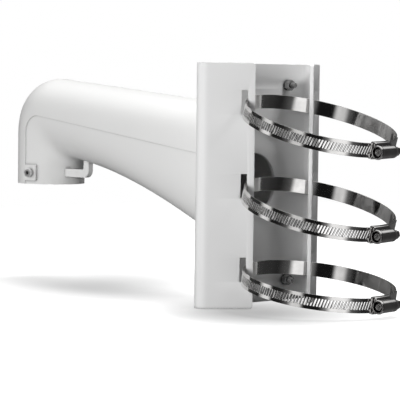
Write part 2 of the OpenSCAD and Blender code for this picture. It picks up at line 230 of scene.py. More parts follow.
def finish(name, group, base, bump, bump_distance, metallic=0.0, coat=0.0, **values):
    """Principled material that takes its colour, roughness and height from a group."""
    material = bpy.data.materials.new(name)
    material.use_nodes = True
    tree = material.node_tree
    shader = tree.nodes["Principled BSDF"]
    shader.inputs["Metallic"].default_value = metallic
    shader.inputs["Coat Weight"].default_value = coat
    shader.inputs["Coat Roughness"].default_value = 0.25
    source = tree.nodes.new("ShaderNodeGroup")
    source.node_tree = group
    source.inputs["Color"].default_value = (*base, 1)
    for label, value in values.items():
        source.inputs[label.replace("_", " ").capitalize()].default_value = value
    relief = add(tree, "ShaderNodeBump", values={"Strength": bump, "Distance": bump_distance})
    tree.links.new(source.outputs["Color"], shader.inputs["Base Color"])
    tree.links.new(source.outputs["Roughness"], shader.inputs["Roughness"])
    tree.links.new(source.outputs["Height"], relief.inputs["Height"])
    tree.links.new(relief.outputs["Normal"], shader.inputs["Normal"])
    return material


cast_paint = finish("cast_paint", paint_grain_and_crevice_shade, (0.70, 0.70, 0.695), 0.25, 0.0003,
                    clouding=0.05, grain_size=700.0, roughness=0.42, gloss_wander=0.1)
sheet_paint = finish("sheet_paint", paint_grain_and_crevice_shade, (0.72, 0.72, 0.72), 0.12, 0.0002,
                     clouding=0.03, grain_size=1200.0, roughness=0.36, gloss_wander=0.08)
strap_steel = finish("strap_steel", metal_grain_and_crevice_shade, (0.80, 0.79, 0.78), 0.05, 0.0001, metallic=1.0,
                     tarnish=0.20, roughness=0.04, roughness_wander=0.08)
housing_steel = finish("housing_steel", metal_grain_and_crevice_shade, (0.62, 0.61, 0.60), 0.08, 0.0001, metallic=1.0,
                       tarnish=0.25, roughness=0.08, roughness_wander=0.10)
worm_steel = finish("worm_steel", metal_grain_and_crevice_shade, (0.62, 0.61, 0.60), 0.08, 0.0001, metallic=1.0,
                    tarnish=0.25, roughness=0.12, roughness_wander=0.10)
lock_steel = finish("lock_screw_steel", metal_grain_and_crevice_shade, (0.85, 0.85, 0.85), 0.08, 0.0001, metallic=1.0,
                    tarnish=0.10, roughness=0.45, roughness_wander=0.08)
dark_bolt = finish("dark_bolt", metal_grain_and_crevice_shade, (0.40, 0.40, 0.40), 0.10, 0.0001, metallic=1.0,
                   tarnish=0.30, roughness=0.14, roughness_wander=0.12)
zinc = finish("zinc", metal_grain_and_crevice_shade, (0.42, 0.42, 0.43), 0.12, 0.0001, metallic=1.0,
              tarnish=0.25, roughness=0.13, roughness_wander=0.10)
slot_look = {"cast_paint": cast_paint, "sheet_paint": sheet_paint, "strap_steel": strap_steel,
             "housing_steel": housing_steel, "worm_steel": worm_steel,
             "lock_screw_steel": lock_steel, "dark_bolt": dark_bolt, "zinc": zinc}
node_slot = {row["node"]: row["material_slot"] for row in frame["record"]["subparts"]}
for node, thing in frame["nodes"].items():
    thing.data.materials.clear()
    thing.data.materials.append(slot_look[node_slot[node]])
print("materials", len(slot_look), "on", len(node_slot), "nodes")

# %% [markdown]
# Every new piece is a mesh object that rides on a CAD body and stands for a CAD node, so one helper makes the object,
# gives it its finish, hangs it on the body and hides the node.

# %% Piece helper


def body_holding(node):
    """Name of the CAD body that a node belongs to."""
    return next(name for name, nodes in frame["record"]["behaviour"]["bodies"].items() if node in nodes)


def new_piece(name, mesh, node):
    """Mesh object in a CAD node's place, with the node's finish."""
    mesh.validate()
    thing = bpy.data.objects.new(name, mesh)
    bpy.context.scene.collection.objects.link(thing)
    mesh.materials.clear()
    mesh.materials.append(slot_look[node_slot[node]])
    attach(thing, body_holding(node))
    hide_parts(node)
    return thing


def mesh_of(name, points, faces):
    """Mesh from points in millimetres."""
    mesh = bpy.data.meshes.new(name)
    mesh.from_pydata([(x * MM, y * MM, z * MM) for x, y, z in points], [], faces)
    mesh.update()
    return mesh


def apply_modifiers(thing):
    """Puts the modifiers' result into the object's own mesh."""
    graph = bpy.context.evaluated_depsgraph_get()
    graph.update()
    done = bpy.data.meshes.new_from_object(thing.evaluated_get(graph), depsgraph=graph)
    thing.modifiers.clear()
    thing.data = done
    return thing


def soften(mesh, angle=32):
    """Smooth shading with creases kept where the surface turns sharply."""
    work = bmesh.new()
    work.from_mesh(mesh)
    limit = math.radians(angle)
    for face in work.faces:
        face.smooth = True
    for edge in work.edges:
        edge.smooth = len(edge.link_faces) == 2 and edge.calc_face_angle(0) < limit
    work.to_mesh(mesh)
    work.free()


def round_edges(thing, width_mm, segments=2, angle=38):
    """Small round on the sharp edges, as on cast, pressed or cut metal."""
    bevel = thing.modifiers.new("edge round", "BEVEL")
    bevel.width = width_mm * MM
    bevel.segments = segments
    bevel.limit_method = "ANGLE"
    bevel.angle_limit = math.radians(angle)
    bevel.harden_normals = False
    apply_modifiers(thing)
    soften(thing.data)
    return thing


print("piece helpers ready")

# %% [markdown]
# The arm is one casting. Its shape follows three lines in the middle plane: the top, the belly,
# and the crease along the side where the two halves of the mould met. Rings of points are laid
# across those lines. Round the elbow the rings fan out from the centre of the inside corner, and
# along the arm they stand upright. Above the crease a ring is rounder and a little wider, which
# leaves the fine ledge that shows along the arm and down the neck.

# %% Arm profiles
web_y = -100.0
neck_r = 39.2
reach = 334.0
rim_z = -14.3
elbow_top = 106.5
top_fall = 0.088
elbow_r = 56.0
crease_z = 61.0
crease_fall = 0.117
crease_r = 20.0
throat_r = 15.0
belly_z = 15.5
belly_slope = 0.117
belly_curve = 0.00068
root_half_w = 50.0
crease_step = 1.2
arm_wall = 5.0
thread_r = 24.0
collar_h = 24.0
neck_y = -reach
throat_y = neck_y + neck_r + throat_r
throat_z = belly_z - throat_r


def smooth(t):
    t = min(max(t, 0.0), 1.0)
    return t * t * (3 - 2 * t)


def mix(a, b, t):
    return a + (b - a) * t


def top_z(y):
    return elbow_top - top_fall * (y - neck_y - elbow_r / 2)


def side_z(y):
    return crease_z - crease_fall * (y - neck_y - elbow_r)


def under_z(y):
    run = y - throat_y
    return belly_z - belly_slope * run - belly_curve * run * run


def ray(upright_y, slope_z, slope, radius, angle):
    """Distance from the throat's centre to an upright line, a sloping line or the round between."""
    lean = math.hypot(1, slope)
    cy = upright_y + radius
    cz = slope_z - slope * radius - radius * lean
    low = math.atan2(cz - throat_z, throat_y - upright_y)
    touch_y = cy + radius * slope / lean
    touch_z = cz + radius / lean
    high = math.atan2(touch_z - throat_z, throat_y - touch_y)
    if angle <= low:
        return (throat_y - upright_y) / math.cos(angle)
    if angle >= high:
        across = slope_z - throat_z - slope * (throat_y - upright_y)
        return across / (math.sin(angle) - slope * math.cos(angle))
    dy = throat_y - cy
    dz = throat_z - cz
    b = -dy * math.cos(angle) + dz * math.sin(angle)
    return -b + math.sqrt(max(b * b - dy * dy - dz * dz + radius * radius, 0))


def fan_station(angle):
    """Outer, crease and inner point of the ring at an angle round the elbow."""
    def at(distance):
        return Vector((throat_y - distance * math.cos(angle), throat_z + distance * math.sin(angle)))
    front_y = neck_y - neck_r
    return (at(ray(front_y, top_z(front_y), top_fall, elbow_r, angle)),
            at(ray(neck_y, side_z(neck_y), crease_fall, crease_r, angle)),
            at(throat_r))


fan_rings = 36
bay_rings = 26
neck_rings = 4
stations = [(Vector((neck_y - neck_r, z)), Vector((neck_y, z)), Vector((neck_y + neck_r, z)))
            for z in [mix(rim_z, throat_z, i / neck_rings) for i in range(neck_rings)]]
stations += [fan_station(math.radians(90 * i / fan_rings)) for i in range(fan_rings + 1)]
for i in range(1, bay_rings + 1):
    y = throat_y * (1 - i / bay_rings)
    stations.append((Vector((y, top_z(y))), Vector((y, side_z(y))), Vector((y, under_z(y)))))
print("arm stations", len(stations))

# %% Arm skin
ring_sides = 40


def bulge(value, power):
    return math.copysign(abs(value) ** (2 / power), value)


def arm_ring(station, wall):
    """Closed ring of points across the arm, a wall's thickness inside its skin."""
    top, crease, low = station
    rise = top - crease
    fall = crease - low
    out = rise.normalized()
    inward = fall.normalized()
    t = smooth((crease.x - neck_y) / reach)
    half = mix(neck_r - crease_step, root_half_w, t)
    upper = mix(2, 2.3, t)
    lower = mix(2, 3.4, t)
    lip = 0.4
    points = []
    for i in range(ring_sides + 1):
        a = math.pi * i / ring_sides
        x = (half + crease_step - wall) * bulge(math.cos(a), upper)
        h = (rise.length - wall) * bulge(math.sin(a), upper)
        points.append((x, crease.x + h * out.x, crease.y + h * out.y))
    for i in range(ring_sides + 1):
        a = math.pi * (1 + i / ring_sides)
        x = (half - wall) * bulge(math.cos(a), lower)
        h = min((fall.length - wall) * bulge(math.sin(a), lower), -lip)
        points.append((x, crease.x + h * inward.x, crease.y + h * inward.y))
    return points


def round_ring(z, radius):
    """Round ring of the neck's bore with the same number of points."""
    points = []
    for half in (0, 1):
        for i in range(ring_sides + 1):
            a = math.pi * (half + i / ring_sides)
            points.append((radius * math.cos(a), neck_y - radius * math.sin(a), z))
    return points


def skin(rings):
    """Faces between rings of equal length, the last one joined to the first."""
    n = len(rings[0])
    faces = []
    for j in range(len(rings)):
        a = j * n
        b = (j + 1) % len(rings) * n
        for i in range(n):
            k = (i + 1) % n
            faces.append((a + k, b + k, b + i, a + i))
    return faces


outer = [arm_ring(s, 0) for s in stations]
inner = [arm_ring(s, arm_wall) for s in stations]
bore_top = rim_z + collar_h
inner = [ring for ring, s in zip(inner, stations) if s[1].y > bore_top + 8]
bore_r = thread_r + 0.9
bore = [round_ring(bore_top, thread_r + 6), round_ring(bore_top - 4, bore_r)]
bore += [round_ring(mix(bore_top - 4, rim_z, i / 4), bore_r) for i in range(1, 5)]
rings = outer + inner[::-1] + bore
arm_points = [(x, y + web_y, z) for ring in rings for x, y, z in ring]
arm_mesh = mesh_of("arm", arm_points, skin(rings))
work = bmesh.new()
work.from_mesh(arm_mesh)
bmesh.ops.remove_doubles(work, verts=work.verts, dist=0.02 * MM)
bmesh.ops.recalc_face_normals(work, faces=work.faces)
work.to_mesh(arm_mesh)
work.free()
arm = new_piece("arm_skin", arm_mesh, "arm_casting")
print("arm skin", len(arm_mesh.polygons), "faces")

# %% [markdown]
# The plate, the pad of the lock screw and the rope eye belong to the same casting. Each is made
# as a closed form and joined to the skin by a boolean union. One bevel then rounds the edges of
# the whole casting, which is how a casting looks: no edge is sharp.

# %% Casting's plate, pad and eye
plate_w = 119.0
plate_h = 231.0
plate_t = 10.0
plate_corner = 11.0
bolt_x = 47.5
bolt_z = 103.0
bolt_hole_r = 3.3
lock_dir = math.radians(14)
lock_z = rim_z + 13.2
lock_face = neck_r + 1.6


def flat_curve(outline, holes, thickness, edge=0.0):
    """Flat plate in the XY plane from an outline and holes, in millimetres."""
    curve = bpy.data.curves.new("outline", "CURVE")
    curve.dimensions = "2D"
    curve.fill_mode = "BOTH"
    curve.extrude = (thickness / 2 - edge) * MM
    curve.bevel_depth = edge * MM
    curve.bevel_resolution = 1
    curve.offset = -edge * MM
    for loop in [outline] + holes:
        spline = curve.splines.new("POLY")
        spline.points.add(len(loop) - 1)
        for point, (x, y) in zip(spline.points, loop):
            point.co = (x * MM, y * MM, 0, 1)
        spline.use_cyclic_u = True
    holder = bpy.data.objects.new("outline", curve)
    bpy.context.scene.collection.objects.link(holder)
    graph = bpy.context.evaluated_depsgraph_get()
    graph.update()
    mesh = bpy.data.meshes.new_from_object(holder.evaluated_get(graph), depsgraph=graph)
    bpy.data.objects.remove(holder)
    work = bmesh.new()
    work.from_mesh(mesh)
    bmesh.ops.remove_doubles(work, verts=work.verts, dist=0.002 * MM)
    bmesh.ops.recalc_face_normals(work, faces=work.faces)
    work.to_mesh(mesh)
    work.free()
    return mesh


def circle_points(x, y, radius, count=40):
    return [(x + radius * math.cos(2 * math.pi * i / count), y + radius * math.sin(2 * math.pi * i / count))
            for i in range(count)]


def round_rectangle(w, h, r, steps=6, x0=0.0, y0=0.0):
    points = []
    for quarter, (sx, sy) in enumerate([(1, 1), (-1, 1), (-1, -1), (1, -1)]):
        for i in range(steps + 1):
            a = math.pi / 2 * (quarter + i / steps)
            points.append((x0 + sx * (w / 2 - r) + r * math.cos(a), y0 + sy * (h / 2 - r) + r * math.sin(a)))
    return points


bolt_places = [(bolt_x, bolt_z), (-bolt_x, bolt_z), (-bolt_x, -bolt_z), (bolt_x, -bolt_z)]


def join_solid(target, mesh, operation="UNION"):
    """Adds a closed mesh to, or cuts it from, the target object's mesh."""
    tool = bpy.data.objects.new("tool", mesh)
    bpy.context.scene.collection.objects.link(tool)
    cut = target.modifiers.new("join", "BOOLEAN")
    cut.operation = operation
    cut.solver = "EXACT"
    cut.object = tool
    apply_modifiers(target)
    bpy.data.objects.remove(tool)


mouth = [(x, z) for x, y, z in arm_ring(stations[-1], arm_wall / 2)]
mouth = mouth[:ring_sides] + mouth[ring_sides + 1:-1]
plate = flat_curve(round_rectangle(plate_w, plate_h, plate_corner),
                   [mouth] + [circle_points(x, z, bolt_hole_r) for x, z in bolt_places], plate_t)
plate.transform(Matrix.Translation((0, (web_y - plate_t / 2) * MM, 0)) @ Matrix.Rotation(math.pi / 2, 4, "X"))
join_solid(arm, plate)


def block(size, centre, turn=0.0, about=(0, 0)):
    """Box in millimetres, turned about an upright axis."""
    work = bmesh.new()
    bmesh.ops.create_cube(work, size=1)
    mesh = bpy.data.meshes.new("block")
    work.to_mesh(mesh)
    work.free()
    place = Matrix.Translation(Vector(centre) * MM) @ Matrix.Diagonal((*[s * MM for s in size], 1))
    pivot = Matrix.Translation((about[0] * MM, about[1] * MM, 0))
    mesh.transform(pivot @ Matrix.Rotation(turn, 4, "Z") @ pivot.inverted() @ place)
    return mesh


pad_depth = lock_face - thread_r - 6
join_solid(arm, block((pad_depth, 16, 18), (thread_r + 6 + pad_depth / 2, web_y + neck_y, lock_z),
                      lock_dir, (0, web_y + neck_y)))

eye_x = 7.0
eye_t = 6.4
eye_bar = 9.0
eye_drop = 5.0
eye_round = 9.0
eye_far = throat_y + throat_r + 11
eye_near = neck_y + neck_r - 8
corner_y = eye_far - eye_round
corner_z = -eye_drop + eye_round
outer_arc = [(corner_y + eye_round * math.sin(math.radians(9 * i)),
              corner_z - eye_round * math.cos(math.radians(9 * i))) for i in range(11)]
inner_y = eye_far - eye_bar
inner_z = -eye_drop + eye_bar
hollow_r = 3.0
inner_arc = [(inner_y - hollow_r + hollow_r * math.sin(math.radians(15 * i)),
              inner_z + hollow_r - hollow_r * math.cos(math.radians(15 * i))) for i in range(7)]
eye_outline = ([(eye_near, -eye_drop)] + outer_arc + [(eye_far, belly_z - 1), (inner_y, belly_z)]
               + inner_arc[::-1] + [(eye_near, inner_z)])
eye = flat_curve(eye_outline, [], eye_t)
turn_up = Matrix(((0, 0, 1, 0), (1, 0, 0, 0), (0, 1, 0, 0), (0, 0, 0, 1)))
eye.transform(Matrix.Translation((eye_x * MM, web_y * MM, 0)) @ turn_up)
join_solid(arm, eye)
round_edges(arm, 0.8, 2, 36)
print("casting", len(arm.data.polygons), "faces")

# %% [markdown]
# The channel is folded from one sheet. It is made here as it is in the shop: a flat blank with
# its holes, whose edges are broken, and which is then folded. The blank is cut into narrow
# strips along the two bends, so that they come out round.

# %% Pole channel
channel_h = 250.0
channel_w = 169.4
channel_t = 4.0
bend_r = 11.4
flange_lean = math.radians(53.7)
flange_len = 47.0
cable_hole_r = 32.0
slot_pitch = 85.0
slot_len = 25.0
slot_w = 6.6
slot_inset = 10.4
web_half = channel_w / 2 - bend_r
mid_bend_r = bend_r - channel_t / 2
bend_sweep = math.pi / 2 + flange_lean
bend_run = mid_bend_r * bend_sweep
blank_half = web_half + bend_run + flange_len
flange_foot = (web_half + mid_bend_r * math.cos(flange_lean), bend_r + mid_bend_r * math.sin(flange_lean))


def fold(u, n):
    """Place of a point of the blank: u across from the middle, n outwards from the sheet's middle."""
    side = math.copysign(1, u)
    run = abs(u)
    if run <= web_half:
        return side * run, channel_t / 2 - n
    if run <= web_half + bend_run:
        a = -math.pi / 2 + (run - web_half) / mid_bend_r
        r = mid_bend_r + n
        return side * (web_half + r * math.cos(a)), bend_r + r * math.sin(a)
    s = run - web_half - bend_run
    x = flange_foot[0] - s * math.sin(flange_lean) + n * math.cos(flange_lean)
    y = flange_foot[1] + s * math.cos(flange_lean) + n * math.sin(flange_lean)
    return side * x, y


def slice_mesh(mesh, places, direction=(1, 0, 0)):
    """Cuts a mesh by planes across a direction, at places in millimetres, and keeps both sides."""
    work = bmesh.new()
    work.from_mesh(mesh)
    for place in places:
        near = Vector(direction) * place * MM
        geometry = work.verts[:] + work.edges[:] + work.faces[:]
        bmesh.ops.bisect_plane(work, geom=geometry, dist=0.001 * MM, plane_co=near, plane_no=direction)
    work.to_mesh(mesh)
    work.free()


slot_u = blank_half - slot_inset
holes = [circle_points(0, 0, cable_hole_r, 72)]
holes += [circle_points(x, z, bolt_hole_r) for x, z in bolt_places]
holes += [round_rectangle(slot_w, slot_len, 1.2, 4, side * slot_u, k * slot_pitch)
          for side in (-1, 1) for k in (-1, 0, 1)]
blank = flat_curve(round_rectangle(2 * blank_half, channel_h, 3.0), holes, channel_t, 0.35)
strips = 16
edge_strip = 0.5
cuts = [side * (web_half + bend_run * i / strips) for side in (-1, 1) for i in range(strips + 1)]
cuts += [side * u for side in (-1, 1) for u in (web_half - edge_strip, web_half + bend_run + edge_strip)]
slice_mesh(blank, cuts)
for vertex in blank.vertices:
    x, y = fold(vertex.co.x / MM, -vertex.co.z / MM)
    vertex.co = Vector((x * MM, (y + web_y) * MM, vertex.co.y))
work = bmesh.new()
work.from_mesh(blank)
bmesh.ops.recalc_face_normals(work, faces=work.faces)
work.to_mesh(blank)
work.free()
channel = new_piece("channel_sheet", blank, "pole_channel")
soften(channel.data, 28)
print("channel", len(blank.polygons), "faces")

# %% [markdown]
# The three straps are one strip, made flat with its slanted perforations and then wrapped round
# a loop. The strip starts under the housing, runs once round and climbs over its own start. The
# three loops hang in the channel's slots at their own droop.

# %% Strap
loop_r = 77.5
strap_w = 15.0
strap_t = 1.0
loop_droop = [17.0, 16.0, 9.5]
levels = ["top", "middle", "bottom"]
housing_dir = 96.0
housing_len = 26.0
mid_r = loop_r + strap_t / 2
layer = strap_t + 0.1
tail_angle = 24.0
ramp_angle = 26.0
housing_half = math.degrees(math.asin(housing_len / 2 / mid_r))
slot_s = flange_len - slot_inset
slot_mid = (flange_foot[0] - slot_s * math.sin(flange_lean), flange_foot[1] + slot_s * math.cos(flange_lean))
chord = math.sqrt(mid_r ** 2 - slot_mid[0] ** 2)
perf_step = 2.3
perf_len = 8.5
perf_w = 1.3
perf_slant = math.radians(14)
perf_from = -36.0
perf_to = housing_dir - housing_half - 3
degree_run = math.radians(1) * mid_r


def strap_lift(angle):
    """Rise of the strip above its first layer, at degrees run from the housing's middle."""
    return layer * smooth((angle - 360 + housing_half + ramp_angle) / ramp_angle)


def slanted_slot(u, length, width, slant, steps=5):
    """Outline of one perforation with round ends."""
    points = []
    for end in (0, 1):
        for i in range(steps + 1):
            a = math.pi * (end + i / steps)
            x = width / 2 * math.cos(a)
            y = width / 2 * math.sin(a) + (1 - 2 * end) * (length - width) / 2
            points.append((u + x * math.cos(slant) + y * math.sin(slant), y * math.cos(slant) - x * math.sin(slant)))
    return points


strip_from = (2 - housing_half) * degree_run
strip_to = (360 + housing_half + tail_angle) * degree_run
strip_mid = (strip_from + strip_to) / 2
perf_angles = []
angle = perf_to
while angle > perf_from:
    perf_angles.append(angle)
    angle -= perf_step
perf_runs = [(a - housing_dir + 360) * degree_run for a in perf_angles]
strip = flat_curve(round_rectangle(strip_to - strip_from, strap_w, 2.0, 6, strip_mid, 0),
                   [slanted_slot(u, perf_len, perf_w, perf_slant) for u in perf_runs], strap_t, 0.15)
slice_count = 240
slice_mesh(strip, [mix(strip_from, strip_to, i / slice_count) for i in range(1, slice_count)])
for vertex in strip.vertices:
    run = vertex.co.x / MM / degree_run
    radius = (mid_r + strap_lift(run)) * MM + vertex.co.z
    direction = math.radians(housing_dir + run)
    vertex.co = Vector((radius * math.cos(direction), radius * math.sin(direction), vertex.co.y))
work = bmesh.new()
work.from_mesh(strip)
bmesh.ops.recalc_face_normals(work, faces=work.faces)
work.to_mesh(strip)
work.free()
soften(strip, 30)
print("strap", len(strip.polygons), "faces,", len(perf_runs), "perforations")


def loop_place(k):
    """Matrix that hangs a clamp's own frame in its slots."""
    droop = math.radians(loop_droop[k])
    rest = 0.3 + 0.65 * channel_t * math.tan(droop)
    rise = (1 - k) * slot_pitch - slot_len / 2 + rest + strap_w / 2 * math.cos(droop)
    hook = Matrix.Translation(Vector((0, web_y + slot_mid[1], rise)) * MM)
    return hook @ Matrix.Rotation(-droop, 4, "X") @ Matrix.Translation((0, chord * MM, 0))


def bake(mesh, matrix):
    """Copy of a mesh moved to its place."""
    copy = mesh.copy()
    copy.transform(matrix)
    return copy


for k, level in enumerate(levels):
    new_piece(f"strap_{level}", bake(strip, loop_place(k)), f"clamp_strap_{level}")

# %% [markdown]
# Screws, nuts and rings are turned parts. A lathe function spins a profile, a thread function
# lays a ridge in a helix as the cutting tool does, and a hexagon function cuts the chamfer that
# every hexagon head has, where the bar's corners are turned away.

# %% Turned shapes


def lathe(profile, sides=48):
    """Points and faces of a profile of (radius, z) pairs spun round Z; radius 0 closes an end."""
    points = []
    rows = []
    for radius, z in profile:
        if radius < 1e-6:
            rows.append([len(points)] * sides)
            points.append((0, 0, z))
        else:
            rows.append([len(points) + i for i in range(sides)])
            points += [(radius * math.cos(2 * math.pi * i / sides), radius * math.sin(2 * math.pi * i / sides), z)
                       for i in range(sides)]
    faces = []
    for a, b in zip(rows, rows[1:]):
        for i in range(sides):
            k = (i + 1) % sides
            face = list(dict.fromkeys((a[i], a[k], b[k], b[i])))
            if len(face) > 2:
                faces.append(face)
    return points, faces


def thread(root, crest, pitch, z0, z1, sides=32, rows_per_turn=8, runout=0.6):
    """Points and faces of a helical thread round Z, fading out at both ends."""
    turns = (z1 - z0) / pitch
    rows = int(turns * rows_per_turn) + 1
    points = []
    for j in range(rows + 1):
        z = mix(z0, z1, j / rows)
        fade = min(1.0, (z - z0) / (runout * pitch), (z1 - z) / (runout * pitch))
        for i in range(sides):
            phase = ((z - z0) / pitch - i / sides) % 1.0
            ridge = min(max(1.7 - abs(phase - 0.5) * 5.2, 0), 1)
            radius = root + (crest - root) * ridge * fade
            a = 2 * math.pi * i / sides
            points.append((radius * math.cos(a), radius * math.sin(a), z))
    faces = [(j * sides + i, j * sides + (i + 1) % sides, (j + 1) * sides + (i + 1) % sides, (j + 1) * sides + i)
             for j in range(rows) for i in range(sides)]
    return points, faces


def hexagon(flats, z0, z1, bore=0.0, low_chamfer=False, sides=72):
    """Points and faces of a hexagon bar round Z with turned corners, closed or with a bore."""
    inner = flats / 2 * 0.96
    fall = math.tan(math.radians(30))

    def wall(turn):
        return flats / 2 / math.cos(((turn + 30) % 60 - 30) * math.pi / 180)

    angles = [360 * i / sides for i in range(sides)]
    edge = [wall(a) for a in angles]
    rows = [[(bore, z0)] * sides if bore else [(0, z0)] * sides]
    if low_chamfer:
        rows.append([(inner, z0)] * sides)
        rows.append([(r, z0 + (r - inner) * fall) for r in edge])
    else:
        rows.append([(r, z0) for r in edge])
    rows.append([(r, z1 - (r - inner) * fall) for r in edge])
    rows.append([(inner, z1)] * sides)
    rows.append([(bore, z1)] * sides if bore else [(0, z1)] * sides)
    points = [(r * math.cos(math.radians(a)), r * math.sin(math.radians(a)), z)
              for row in rows for (r, z), a in zip(row, angles)]
    count = len(rows) if bore else len(rows) - 1
    faces = [(j * sides + i, j * sides + (i + 1) % sides,
              (j + 1) % len(rows) * sides + (i + 1) % sides, (j + 1) % len(rows) * sides + i)
             for j in range(count) for i in range(sides)]
    return points, faces


def solid(name, parts, angle=35):
    """One mesh of several points-and-faces parts, cleaned and with creases kept."""
    points = []
    faces = []
    for some_points, some_faces in parts:
        faces += [[i + len(points) for i in face] for face in some_faces]
        points += some_points
    mesh = mesh_of(name, points, faces)
    work = bmesh.new()
    work.from_mesh(mesh)
    bmesh.ops.remove_doubles(work, verts=work.verts, dist=0.001 * MM)
    bmesh.ops.recalc_face_normals(work, faces=work.faces)
    work.to_mesh(mesh)
    work.free()
    soften(mesh, angle)
    return mesh


def cut_block(mesh, size, centre, angle=35):
    """Mesh with a box cut out of it, in millimetres."""
    holder = bpy.data.objects.new("holder", mesh)
    bpy.context.scene.collection.objects.link(holder)
    join_solid(holder, block(size, centre), "DIFFERENCE")
    result = holder.data
    bpy.data.objects.remove(holder)
    soften(result, angle)
    return result


print("turning tools ready")

# %% [markdown]
# The clamp's housing is pressed from thin strip: a saddle under the band, two cheeks round its
# edges and a barrel rolled over the worm. The worm is a real helix that bites in the slots, with
# a collar and a slotted hexagon head, so that a screwdriver or a socket can turn it.

# %% Worm screws and housings
saddle_t = 1.0
cheek_t = 1.0
fit = 0.3
worm_r = 5.2
core_r = 3.8
worm_pitch = 2.6
worm_af = 8.0
worm_y = loop_r + 2 * layer + fit + worm_r
barrel_in = worm_r + fit
barrel_out = barrel_in + 1.1
worm_seat = housing_len - 1 + fit
collar_t = 1.4
head_len = 6.5


def arc(cx, cy, radius, start, end, steps):
    """Points on a round in the plane, from one angle to another in degrees."""
    return [(cx + radius * math.cos(math.radians(mix(start, end, i / steps))),
             cy + radius * math.sin(math.radians(mix(start, end, i / steps)))) for i in range(steps + 1)]


def mirrored(half):
    """Closed outline from its +X half, listed from the bottom up."""
    return half + [(-x, y) for x, y in half[::-1] if abs(x) > 1e-6]


cheek_out = strap_w / 2 + fit + cheek_t
outer_half = ([(0, loop_r - saddle_t - 0.1)] + arc(cheek_out - 1.2, loop_r + 0.1, 1.2, -90, 0, 4)
              + arc(cheek_out - 1.4, loop_r + 2.6, 1.4, 0, 68, 4)
              + arc(0, worm_y, barrel_out, -24, 90, 16))
inner_half = ([(0, loop_r - 0.1), (cheek_out - cheek_t, loop_r - 0.1), (cheek_out - cheek_t, loop_r + 2 * layer + 0.1),
               (4.2, loop_r + 2 * layer + 0.1)] + arc(0, worm_y, barrel_in, -40, 90, 14))
housing = flat_curve(mirrored(outer_half), [mirrored(inner_half)], housing_len, 0.25)
slice_mesh(housing, [mix(-housing_len / 2, housing_len / 2, i / 10) for i in range(1, 10)], (0, 0, 1))
for vertex in housing.vertices:
    x, y, z = vertex.co / MM
    sink = loop_r - math.sqrt(loop_r ** 2 - z ** 2)
    share = 1 - smooth((y - loop_r - 2 * layer) / 3)
    vertex.co = Vector((z, y - sink * share, x)) * MM
work = bmesh.new()
work.from_mesh(housing)
bmesh.ops.recalc_face_normals(work, faces=work.faces)
work.to_mesh(housing)
work.free()
soften(housing, 34)

lip = solid("lip", [lathe([(barrel_in, -1.6), (barrel_out - 0.2, -1.6), (barrel_out + 0.45, -1.1), (barrel_out + 0.6, 0),
                           (barrel_out + 0.45, 1.1), (barrel_out - 0.2, 1.6), (barrel_in, 1.6), (barrel_in, -1.6)])])
lip.transform(Matrix.Translation(((housing_len / 2 - 1.6) * MM, worm_y * MM, 0)) @ Matrix.Rotation(math.pi / 2, 4, "Y"))

worm_parts = [
    lathe([(0, 0), (core_r - 0.6, 0), (core_r, 0.6), (core_r, worm_seat), (0, worm_seat)]),
    thread(core_r - 0.1, worm_r, worm_pitch, 0.5, worm_seat - 1.2, 36, 12),
    lathe([(0, worm_seat), (worm_r + 0.6, worm_seat), (worm_r + 0.9, worm_seat + 0.3),
           (worm_r + 0.9, worm_seat + collar_t - 0.3), (worm_r + 0.6, worm_seat + collar_t), (0, worm_seat + collar_t)]),
    hexagon(worm_af, worm_seat + collar_t, worm_seat + collar_t + head_len)]
worm_body = solid("worm", worm_parts[:3])
worm_head = cut_block(solid("head", worm_parts[3:]), (2 * worm_af, 1.3, 4.4),
                      (0, 0, worm_seat + collar_t + head_len))
turn_worm = (Matrix.Rotation(math.radians(housing_dir - 90), 4, "Z")
             @ Matrix.Translation(((housing_len / 2 - 1) * MM, worm_y * MM, 0)) @ Matrix.Rotation(-math.pi / 2, 4, "Y"))
turn_housing = Matrix.Rotation(math.radians(housing_dir - 90), 4, "Z")
for k, level in enumerate(levels):
    new_piece(f"housing_{level}", bake(housing, loop_place(k) @ turn_housing), f"screw_housing_{level}")
    new_piece(f"housing_lip_{level}", bake(lip, loop_place(k) @ turn_housing), f"screw_housing_{level}")
    new_piece(f"worm_{level}", bake(worm_body, loop_place(k) @ turn_worm), f"worm_screw_{level}")
    new_piece(f"worm_head_{level}", bake(worm_head, loop_place(k) @ turn_worm), f"worm_screw_{level}")
print("housing", len(housing.polygons), "faces, worm", len(worm_body.polygons), "faces")

# %% [markdown]
# Four bolts hold the arm's plate to the web, each with a flat washer under its head and a split
# spring washer under its nut. The spring washer is a ring that is cut and twisted, so its two
# ends stand apart.

# %% Bolts, nuts and washers
bolt_r = 3.0
hex_af = 10.0
bolt_head_h = 4.0
nut_h = 6.0
bolt_reach = 13.0
washer_r = 6.0
washer_t = 1.6
bolt_pitch = 1.0
grip = washer_t + plate_t + channel_t
bolt_len = grip + bolt_reach
face_y = web_y - plate_t - washer_t
bolt_mesh = solid("bolt", [
    hexagon(hex_af, -bolt_head_h, 0),
    lathe([(0, -0.5), (bolt_r, -0.5), (bolt_r, grip - 2), (bolt_r - 0.45, grip - 1.6),
           (bolt_r - 0.45, bolt_len - 0.4), (bolt_r - 0.8, bolt_len), (0, bolt_len)], 32),
    thread(bolt_r - 0.5, bolt_r, bolt_pitch, grip - 1.5, bolt_len - 0.3, 28, 6)])
nut_mesh = solid("nut", [hexagon(hex_af, 0, nut_h, bolt_r + 0.05, True)])
flat_washer_mesh = solid("flat washer", [lathe([
    (bolt_hole_r, 0), (washer_r - 0.2, 0), (washer_r, 0.2), (washer_r, washer_t - 0.2),
    (washer_r - 0.2, washer_t), (bolt_hole_r, washer_t), (bolt_hole_r, 0)])])


